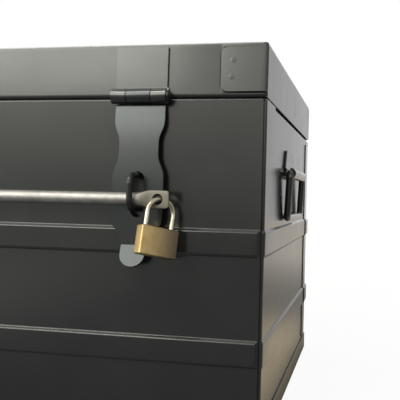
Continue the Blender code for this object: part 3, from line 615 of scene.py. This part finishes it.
@dataclass(frozen=True)
class BentRod:
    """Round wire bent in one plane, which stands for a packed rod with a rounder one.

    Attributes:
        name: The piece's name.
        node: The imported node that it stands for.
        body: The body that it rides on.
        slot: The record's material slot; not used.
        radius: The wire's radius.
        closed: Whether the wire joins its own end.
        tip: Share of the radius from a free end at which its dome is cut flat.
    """

    name: str
    node: str
    body: str
    slot: str
    radius: float
    closed: bool
    step: float = 0.6 * MM
    sides: int = 40
    tip: float = 0.03

    def build(self, line: np.ndarray, normal: np.ndarray) -> bpy.types.Object:
        """Carries a circle along the centre line.

        Point (s, a) is line(s) + share(s) * radius * (cos a * normal + sin a * side(s)). The side is at right
        angles to the line and the plane's normal. The share falls as a circle's edge to dome the free ends.

        Args:
            line: Corner points of the centre line.
            normal: The plane's normal.

        Returns:
            The new piece.
        """
        if self.closed:
            line = np.concatenate([line, line[:1]])
        travel = np.concatenate([[0.0], np.cumsum(np.linalg.norm(np.diff(line, axis=0), axis=1))])
        count = int(travel[-1] / self.step)
        place = np.linspace(0, travel[-1], count, endpoint=not self.closed)
        centre = np.stack([np.interp(place, travel, line[:, k]) for k in range(3)], axis=-1)
        if self.closed:
            way = np.roll(centre, -1, axis=0) - np.roll(centre, 1, axis=0)
            share = np.ones(count)
        else:
            way = np.gradient(centre, axis=0)
            near = np.clip(np.minimum(place, travel[-1] - place) / self.radius, self.tip, 1)
            share = np.sqrt(1 - (1 - near) ** 2)
        side = np.cross(way, normal)
        side /= np.linalg.norm(side, axis=1, keepdims=True)
        angle = np.linspace(0, 2 * math.pi, self.sides, endpoint=False)[None, :, None]
        circle = np.cos(angle) * normal[None, None] + np.sin(angle) * side[:, None]
        rings = centre[:, None] + self.radius * share[:, None, None] * circle
        piece = ring_mesh(self.name, rings, self.closed)
        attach(piece, self.body)
        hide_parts(self.node)
        return piece


@dataclass(frozen=True)
class Shackle:
    """The padlock's shackle: two legs and a half circle, hung in the locking bar's eye.

    Attributes:
        eye: The point of the eye that holds it.
        radius: The wire's radius.
        bow: Radius of the half circle.
        ends: How far down the two legs end, from the bow's top.
        hang: Angle along the bow from its top to the held point.
        turns: Turns about the upright axis, then of pitch and of roll.
    """

    eye: Triple = (0.3587, -0.2795, 0.235)
    radius: float = 0.0025
    bow: float = 0.0139
    bow_steps: int = 48
    ends: Pair = (-0.0354, -0.0474)
    hang: float = 22.4
    turns: Triple = (45.7, -6.0, 10.9)

    def build(self, frame: Frame) -> None:
        """Bends the shackle in its own plane, turns it and hangs it in the eye.

        Args:
            frame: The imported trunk, which dresses it.
        """
        arch = bend((0, -self.bow), self.bow, 180, 0, self.bow_steps)
        outline = np.concatenate([[(-self.bow, self.ends[0])], arch, [(self.bow, self.ends[1])]])
        local = np.insert(outline, 1, 0.0, axis=1)
        hang = math.radians(self.hang)
        held = self.bow * np.array([-math.sin(hang), 0, math.cos(hang) - 1])
        way = turn("Z", self.turns[0]) @ turn("X", self.turns[1]) @ turn("Y", self.turns[2])
        line = np.asarray(self.eye) + (local - held) @ way.T
        rod = BentRod("shackle_wire", "padlock_shackle", "shackle", "plated_steel", self.radius, False)
        frame.dress(rod.build(line, way @ BACK), SHACKLE_STEEL)


@dataclass(frozen=True)
class Staple:
    """A wire staple: two tails through the front panel, joined outside by two round corners."""

    radius: float = 0.003
    corner: float = 0.009
    corner_y: float = -0.281
    tail_y: float = -0.248
    heights: Pair = (0.2257, 0.2577)

    def build(self, frame: Frame, side: Side) -> None:
        """Bends the staple of one side.

        Args:
            frame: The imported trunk, which dresses it.
            side: The trunk's side.
        """
        low, high = self.heights
        lower = bend((self.corner_y, low + self.corner), self.corner, 270, 180)
        upper = bend((self.corner_y, high - self.corner), self.corner, 180, 90)
        outline = np.concatenate([[(self.tail_y, low)], lower, upper, [(self.tail_y, high)]])
        line = np.insert(outline, 0, side.value * HASP_X, axis=1)
        rod = BentRod(f"staple_wire_{side.word}", f"staple_{side.word}", "body", "black_enamel",
                      self.radius, False)
        frame.dress(rod.build(line, ALONG), STAPLE_ENAMEL)


@dataclass(frozen=True)
class Handle:
    """A handle's bail: a closed oblong of wire with round corners that leans out from its clip."""

    radius: float = 0.004
    axis: Triple = (0.4638, -0.012, 0.268)
    half: float = 0.0815
    corner: float = 0.005
    drop: float = 0.052
    lean: float = 2.5

    def build(self, frame: Frame, side: Side) -> None:
        """Bends the bail of one side.

        Args:
            frame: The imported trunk, which dresses it.
            side: The trunk's side.
        """
        half = self.half - self.corner
        low = self.corner - self.drop
        middles = ((half, -self.corner), (-half, -self.corner), (-half, low), (half, low))
        corners = [bend(middle, self.corner, 90 * i, 90 * i + 90) for i, middle in enumerate(middles)]
        outline = np.concatenate(corners)
        flat = np.insert(outline, 0, 0.0, axis=1)
        lean = turn("Y", side.value * self.lean)
        axis = np.asarray(self.axis) * (side.value, 1, 1)
        rod = BentRod(f"bail_wire_{side.word}", f"handle_bail_{side.word}", f"bail_{side.word}",
                      "black_enamel", self.radius, True)
        frame.dress(rod.build(axis + flat @ lean.T, lean @ ALONG), WIRE_ENAMEL)


@dataclass(frozen=True)
class SpotWelds:
    """Spot-weld marks, where electrodes squeezed two sheets: a shallow ring pressed up round a dimple.

    Attributes:
        ring_mm: Height of the mound that the dimple is pressed into.
        dimple: Depth of the dimple as a share of that height.
        dimple_reach: Reach of the dimple as a share of the radius.
        rim_sink_mm: How far the rim lies under the sheet's face.
        root_mm: How far the underside lies under the sheet's face.
    """

    radius_mm: float = 4.2
    ring_mm: float = 0.24
    dimple: float = 0.45
    dimple_reach: float = 0.4
    rim_sink_mm: float = 0.04
    root_mm: float = 0.4
    middle: float = 0.03
    under: float = 0.05
    rings: int = 18
    sides: int = 40

    def build(self, name: str, body: str, places: np.ndarray, out: np.ndarray) -> list[bpy.types.Object]:
        """Raises a row of marks on one upright or leaning sheet.

        A mark's height at the share p of its radius is ring * ((1 + cos(pi p)) / 2 - dimple *
        exp(-(p / reach)^2)) less the rim's sink. Its underside closes inside the sheet.

        Args:
            name: The start of the pieces' names.
            body: The body that they ride on.
            places: Middles of the marks on the sheet's face.
            out: The face's outward direction.

        Returns:
            The new pieces, one a mark.
        """
        out = out / np.linalg.norm(out)
        up = UP - out * np.dot(UP, out)
        up /= np.linalg.norm(up)
        across = np.cross(up, out)
        share = np.linspace(self.middle, 1, self.rings)
        mound = (1 + np.cos(math.pi * share)) / 2
        height = self.ring_mm * (mound - self.dimple * np.exp(-(share / self.dimple_reach) ** 2))
        reach = np.append(share, [1.0, self.under]) * self.radius_mm * MM
        height = np.append(height - self.rim_sink_mm, [-self.root_mm, -self.root_mm]) * MM
        angle = np.linspace(0, 2 * math.pi, self.sides, endpoint=False)
        circle = np.cos(angle)[:, None] * across + np.sin(angle)[:, None] * up
        mark = reach[:, None, None] * circle[None] + height[:, None, None] * out
        pieces = [ring_mesh(f"{name}_{i}", place + mark, False) for i, place in enumerate(places)]
        for piece in pieces:
            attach(piece, body)
        return pieces


@dataclass(frozen=True)
class WeldMarks:
    """The weld marks of one side: on the lid's tab, the hasp's leaf, the handle's clip and the rear hinge.

    Attributes:
        lid_front: Depth of the lid's front at its top.
        lid_flare: How far the front leans out for each metre down.
        tab: The tab's marks, along the length and up.
        tab_proud: How far the tab stands before the lid's front.
        leaf_proud: How far the leaf stands before the lid's front.
        leaf_ring_mm: Height of the leaf's mounds, which its thicker sheet keeps faint.
        hinge_heights: Heights of the marks on the lid's and the body's leaf.
    """

    lid_top: float = 0.3867
    lid_front: float = -0.254
    lid_flare: float = 0.0022 / 0.0527
    tab: tuple[Pair, Pair] = ((0.4241, 0.3697), (0.4225, 0.3535))
    tab_proud: float = 0.0012
    leaf_spread: float = 0.012
    leaf_height: float = 0.369
    leaf_proud: float = 0.0033
    leaf_ring_mm: float = 0.07
    clip_face: float = 0.4595
    clip_depths: Triple = (-0.062, -0.012, 0.038)
    clip_height: float = 0.285
    hinge: float = 0.28
    hinge_spread: float = 0.018
    hinge_face: float = 0.2563
    hinge_heights: Pair = (0.362, 0.303)

    def build(self, frame: Frame, side: Side) -> None:
        """Marks the welds of one side.

        Args:
            frame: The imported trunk, which dresses them.
            side: The trunk's side.
        """
        sign = side.value
        plain = SpotWelds()
        faint = SpotWelds(ring_mm=self.leaf_ring_mm)
        front = self.lid_flare * UP - BACK
        tab = np.array(self.tab) * (sign, 1)
        leaf = np.array([(sign * HASP_X + self.leaf_spread * k, self.leaf_height) for k in (-1, 1)])
        clip = np.array([(sign * self.clip_face, y, self.clip_height) for y in self.clip_depths])
        hinge = np.array([(sign * self.hinge + self.hinge_spread * k, self.hinge_face, 0) for k in (-1, 1)])
        high, low = (hinge + height * UP for height in self.hinge_heights)
        rows = (
            ("tab_weld", plain, "lid", self.on_lid(tab, self.tab_proud), front),
            ("hasp_weld", faint, "lid", self.on_lid(leaf, self.leaf_proud), front),
            ("clip_weld", plain, "body", clip, sign * ALONG),
            ("rear_weld_high", plain, "lid", high, BACK),
            ("rear_weld_low", plain, "body", low, BACK))
        for name, kind, body, places, out in rows:
            for piece in kind.build(f"{name}_{side.word}", body, places, out):
                frame.dress(piece, HASP_ENAMEL)

    def on_lid(self, places: np.ndarray, proud: float) -> np.ndarray:
        """Places on the flared front: depth is the front's, less the flare times the drop, less proud."""
        depth = self.lid_front - self.lid_flare * (self.lid_top - places[:, 1]) - proud
        return np.column_stack([places[:, 0], depth, places[:, 1]])


@dataclass(frozen=True)
class LapSeam:
    """The rear sheet's front edge, which laps over an end panel and dies away towards the rear corner.

    Attributes:
        end: Depth at which the lap has died away.
        proud: How far the lap stands before the panel.
        edge: Share of that at the very edge, which is rounded.
        edge_run: How far behind its edge the lap stands fully proud.
        sink: How far its underside lies inside the panel.
        band_bottoms: Heights at which the panel's raised bands begin.
        band_rise: How far a band stands before the panel.
        band_edge: A band's lower edge as heights above its bottom and shares of its rise.
    """

    start: float = 0.1958
    end: float = 0.2450
    heights: Pair = (0.0245, 0.3220)
    half_length: float = 0.457
    proud: float = 0.0012
    edge: float = 0.8
    edge_run: float = 0.0004
    sink: float = 0.0004
    band_bottoms: Pair = (0.0751, 0.1806)
    band_height: float = 0.0278
    band_rise: float = 0.0026
    band_edge: tuple[Pair, ...] = ((0.0, 0.0), (0.0009, 0.12), (0.0029, 0.88), (0.0038, 1.0))

    def build(self, frame: Frame, side: Side) -> None:
        """Carries the lap's wedge up the panel: out(y, z) = half length + band(z) + proud * share left at y.

        Args:
            frame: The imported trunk, which dresses it.
            side: The trunk's side.
        """
        lower = np.array(self.band_edge)
        upper = (lower * (-1, 1) + (self.band_height, 0))[::-1]
        bands = [np.concatenate([lower, upper]) + (bottom, 0) for bottom in self.band_bottoms]
        keys = np.concatenate([[(self.heights[0], 0)], *bands, [(self.heights[1], 0)]])
        depth = np.array([self.start, self.start, self.start + self.edge_run, self.end, self.end])
        out = np.array([-self.sink, self.proud * self.edge, self.proud, 0.0, -self.sink])
        reach = side.value * (self.half_length + self.band_rise * keys[:, 1, None] + out)
        rings = np.stack(np.broadcast_arrays(reach, depth, keys[:, 0, None]), axis=-1)
        piece = ring_mesh(f"rear_lap_{side.word}", rings, False, smooth=False)
        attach(piece, "body")
        frame.dress(piece, END_ENAMEL)


@dataclass(frozen=True)
class Lamp:
    """A soft rectangular lamp: its place, what it faces, its width and height, and its radiance."""

    name: str
    place: Triple
    target: Triple
    size: Pair
    radiance: float

    def build(self) -> None:
        """Hangs the lamp, whose power is its radiance times pi times its area."""
        data = bpy.data.lights.new(self.name, "AREA")
        data.shape = "RECTANGLE"
        data.size, data.size_y = self.size
        data.energy = self.radiance * math.pi * data.size * data.size_y
        lamp = bpy.data.objects.new(self.name, data)
        aim = Vector(self.target) - Vector(self.place)
        lamp.rotation_euler = aim.to_track_quat("-Z", "Y").to_euler()
        lamp.location = self.place
        bpy.context.scene.collection.objects.link(lamp)


@dataclass(frozen=True)
class Floor:
    """A plain pale matt floor, grey towards the camera and white from under the trunk on.

    The camera sees it mostly as plain white, so the trunk's shadow is faint. In reflections the white part is
    pale grey, and beside the trunk's right end cream, with a painted shadow at the trunk's foot and a darker
    line of painted shade where the cream ends and a wall begins.

    Attributes:
        drop: How far it lies under the trunk.
        white: Depths between which grey turns white.
        shaded: Places along the length between which the grey darkens with painted shade.
        foot: Places along the length between which the cream darkens towards the trunk's foot, a painted
            shadow.
        edge: Depths between which the cream darkens to its edge, a painted shade.
        wall: Depths between which that edge turns to the wall.
        cream_start: Places along the length between which the cream begins.
        cream_end: Places along the length between which the cream ends, at the middle of the depth.
        cream_spread: How far the cream's end moves out for each metre of depth.
        plain: The camera's share of plain white near the trunk.
        fade: Distances between which that share becomes whole.
        mirrored: Share of the plain colours in reflections.
    """

    size: float = 14.0
    drop: float = 0.4 * MM
    roughness: float = 0.9
    gloss: float = 0.1
    white: Pair = (-0.32, -0.1)
    shaded: Pair = (-0.5, 0.15)
    foot: Pair = (0.495, 0.462)
    edge: Pair = (0.2, 0.74)
    wall: Pair = (0.74, 2.3)
    cream_start: Pair = (0.3, 0.42)
    cream_end: Pair = (0.66, 0.56)
    cream_spread: float = 0.134
    plain: float = 0.93
    fade: Pair = (0.9, 3.0)
    mirrored: float = 0.8

    def build(self) -> None:
        """Lays the floor, a level square just under the trunk."""
        corners = np.array([(-1, -1, 0), (1, -1, 0), (1, 1, 0), (-1, 1, 0)], float) * self.size / 2
        corners[:, 2] = -self.drop
        mesh = bpy.data.meshes.new("floor")
        mesh.from_pydata(corners.tolist(), [], [(0, 1, 2, 3)])
        floor = bpy.data.objects.new("floor", mesh)
        bpy.context.scene.collection.objects.link(floor)
        mesh.materials.append(self.material())

    def material(self) -> Material:
        """Mixes the floor's lit colour with the plain glow that the camera and reflections see.

        Returns:
            The floor's material.
        """
        material = bpy.data.materials.new("pale matt floor")
        material.use_nodes = True
        tree = material.node_tree
        shader = tree.nodes["Principled BSDF"]
        shader.inputs["Roughness"].default_value = self.roughness
        shader.inputs["Specular IOR Level"].default_value = self.gloss
        place = add_node(tree, "ShaderNodeTexCoord")["Object"]
        part = add_node(tree, "ShaderNodeSeparateXYZ", inputs={"Vector": place})
        spread = add_node(tree, "ShaderNodeMath", {"operation": "MULTIPLY_ADD"}, {
            0: part["Y"], 1: -self.cream_spread, 2: part["X"]})[0]
        steps = {
            "white": (part["Y"], self.white), "shaded": (part["X"], self.shaded),
            "foot": (part["X"], self.foot), "edge": (part["Y"], self.edge), "wall": (part["Y"], self.wall),
            "start": (part["X"], self.cream_start), "end": (spread, self.cream_end)}
        share = {}
        for name, (value, limits) in steps.items():
            share[name] = add_node(tree, "ShaderNodeMapRange", SOFT, {
                "Value": value, "From Min": limits[0], "From Max": limits[1]})[0]
        # Diffuse and glossy rays see grey that darkens to the right with painted shade, and white further
        # back.
        lit = linear(Paint.FLOOR_NEAR)
        for name, paint in (("shaded", Paint.FLOOR_SHADED), ("white", Paint.FLOOR)):
            lit = add_node(tree, "ShaderNodeMix", COLOURS, {
                "Factor": share[name], "A": lit, "B": linear(paint)})["Result"]
        tree.links.new(lit, shader.inputs["Base Color"])
        # Cream seen in reflections, with a painted shadow at the trunk's foot, painted shade along its far
        # edge, then the wall.
        cream = linear(Paint.FLOOR_MIRRORED)
        beyond = (("foot", Paint.FLOOR_FOOT), ("edge", Paint.FLOOR_EDGE), ("wall", Paint.WALL_MIRRORED))
        for name, paint in beyond:
            cream = add_node(tree, "ShaderNodeMix", COLOURS, {
                "Factor": share[name], "A": cream, "B": linear(paint)})["Result"]
        path = add_node(tree, "ShaderNodeLightPath")
        reflected = add_node(tree, "ShaderNodeMath", LARGER, {
            0: path["Is Glossy Ray"], 1: path["Is Transmission Ray"]})
        on_white = add_node(tree, "ShaderNodeMath", TIMES, {0: share["white"], 1: reflected[0]})
        faint = add_node(tree, "ShaderNodeMath", TIMES, {0: on_white[0], 1: self.mirrored})
        away = add_node(tree, "ShaderNodeVectorMath", {"operation": "LENGTH"}, {0: place})
        blank = add_node(tree, "ShaderNodeMapRange", SOFT, {
            "Value": away["Value"], "From Min": self.fade[0], "From Max": self.fade[1],
            "To Min": self.plain, "To Max": 1.0})
        seen = add_node(tree, "ShaderNodeMath", TIMES, {0: path["Is Camera Ray"], 1: blank[0]})
        glowing = add_node(tree, "ShaderNodeMath", LARGER, {0: seen[0], 1: faint[0]})
        beside = add_node(tree, "ShaderNodeMath", TIMES, {0: share["start"], 1: share["end"]})
        mirror = add_node(tree, "ShaderNodeMix", COLOURS, {
            "Factor": beside[0], "A": linear(Paint.FLOOR_PALE), "B": cream})
        pale = add_node(tree, "ShaderNodeMix", COLOURS, {
            "Factor": path["Is Camera Ray"], "A": mirror["Result"], "B": linear(Paint.WHITE)})
        glow = add_node(tree, "ShaderNodeEmission", inputs={"Color": pale["Result"]})
        both = add_node(tree, "ShaderNodeMixShader", inputs={
            0: glowing[0], 1: shader.outputs[0], 2: glow[0]})
        tree.links.new(both[0], tree.nodes["Material Output"].inputs["Surface"])
        return material


@dataclass(frozen=True)
class Grade:
    """A level that goes from one value to another between two limits of a ray's direction along one axis."""

    axis: str
    limits: Pair
    levels: Pair
    soft: bool = True


@dataclass(frozen=True)
class Surround:
    """The studio's surround: white behind the trunk, and on the near side dim low down and bright higher up.

    Attributes:
        behind: The level behind, which is greyer just right of the picture.
        rising: The near side's level, which grows upward.
        overhead: What dims the near side overhead.
        left: What brightens the near side to the left.
        back: The share of what is behind.
        right: What dims all of it to the right.
    """

    behind: Grade = Grade("X", (0.05, 0.085), (1.0, 0.58))
    rising: Grade = Grade("Z", (0.0, 0.26), (0.33, 1.6), soft=False)
    overhead: Grade = Grade("Z", (0.35, 0.8), (1.0, 0.5))
    left: Grade = Grade("X", (-0.45, -0.18), (1.5, 1.0))
    back: Grade = Grade("Y", (-0.25, 0.25), (0.0, 1.0))
    right: Grade = Grade("X", (0.3, 0.7), (1.0, 0.6))

    def build(self) -> None:
        """Makes the world, whose level follows a ray's direction; the camera sees plain white all round."""
        world = bpy.data.worlds.new("studio surround")
        bpy.context.scene.world = world
        world.use_nodes = True
        tree = world.node_tree
        way = add_node(tree, "ShaderNodeTexCoord")["Generated"]
        part = add_node(tree, "ShaderNodeSeparateXYZ", inputs={"Vector": way})
        level = {}
        for item in fields(self):
            grade = getattr(self, item.name)
            level[item.name] = add_node(tree, "ShaderNodeMapRange", SOFT if grade.soft else None, {
                "Value": part[grade.axis], "From Min": grade.limits[0], "From Max": grade.limits[1],
                "To Min": grade.levels[0], "To Max": grade.levels[1]})[0]
        high = add_node(tree, "ShaderNodeMath", TIMES, {0: level["rising"], 1: level["overhead"]})
        near = add_node(tree, "ShaderNodeMath", TIMES, {0: high[0], 1: level["left"]})
        around = add_node(tree, "ShaderNodeMix", NUMBERS, {
            "Factor": level["back"], "A": near[0], "B": level["behind"]})
        strength = add_node(tree, "ShaderNodeMath", TIMES, {0: around["Result"], 1: level["right"]})
        seen = add_node(tree, "ShaderNodeLightPath")["Is Camera Ray"]
        shown = add_node(tree, "ShaderNodeMix", NUMBERS, {
            "Factor": seen, "A": strength[0], "B": 1.0})
        background = tree.nodes["Background"]
        background.inputs["Color"].default_value = linear(Paint.WHITE)
        tree.links.new(shown["Result"], background.inputs["Strength"])


@dataclass(frozen=True)
class Viewpoint:
    """The camera where the photograph was taken: its place, its right and up directions, and its lens."""

    place: Triple = (0.5489, -0.9372, 0.2388)
    right: Triple = (0.97494, 0.2213, 0.02273)
    up: Triple = (-0.0233, -0.00002, 0.99973)
    lens_mm: float = 65.34
    sensor_mm: float = 36.0
    nearest: float = 0.01

    def build(self) -> None:
        """Sets the camera, with its up direction squared to the right one."""
        data = bpy.data.cameras.new("camera")
        data.lens = self.lens_mm
        data.sensor_width = self.sensor_mm
        data.clip_start = self.nearest
        camera = bpy.data.objects.new("camera", data)
        right = Vector(self.right).normalized()
        up = (Vector(self.up) - right * right.dot(Vector(self.up))).normalized()
        facing = Matrix((right, up, right.cross(up))).transposed()
        camera.matrix_world = Matrix.Translation(Vector(self.place)) @ facing.to_4x4()
        bpy.context.scene.collection.objects.link(camera)
        bpy.context.scene.camera = camera


@dataclass(frozen=True)
class Studio:
    """A plain pale floor, a surround that is white behind, three soft lamps and the camera."""

    floor: Floor = Floor()
    surround: Surround = Surround()
    lamps: tuple[Lamp, ...] = (
        Lamp("front lamp", (-0.63, -1.9, 1.67), (-0.63, -0.25, 1.67), (1.15, 1.86), 2.9),
        Lamp("top lamp", (-0.6, -1.35, 2.1), (-0.6, -0.28, 0.2), (1.9, 0.28), 11.5),
        Lamp("left lamp", (-1.9, -1.05, 0.75), (0.36, -0.29, 0.25), (1.0, 1.2), 1.6))
    viewpoint: Viewpoint = Viewpoint()

    def build(self) -> None:
        """Builds the studio's parts in order."""
        for part in (self.floor, self.surround, *self.lamps, self.viewpoint):
            part.build()


def main() -> None:
    """Builds the studio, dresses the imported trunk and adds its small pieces."""
    logging.basicConfig(level=logging.INFO, format="%(name)s: %(message)s")
    for item in list(bpy.data.objects):
        bpy.data.objects.remove(item, do_unlink=True)
    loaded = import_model()
    bpy.context.scene.view_settings.view_transform = "Standard"
    Studio().build()
    frame = Frame(loaded["nodes"])
    for name in sorted(loaded["nodes"]):
        frame.soften(name)
        frame.dress(loaded["nodes"][name], FINISHES.get(name, ENAMEL))
    Shackle().build(frame)
    for side in Side:
        for fitting in (Staple(), Handle(), WeldMarks(), LapSeam()):
            fitting.build(frame, side)


if __name__ == "__main__":
    main()
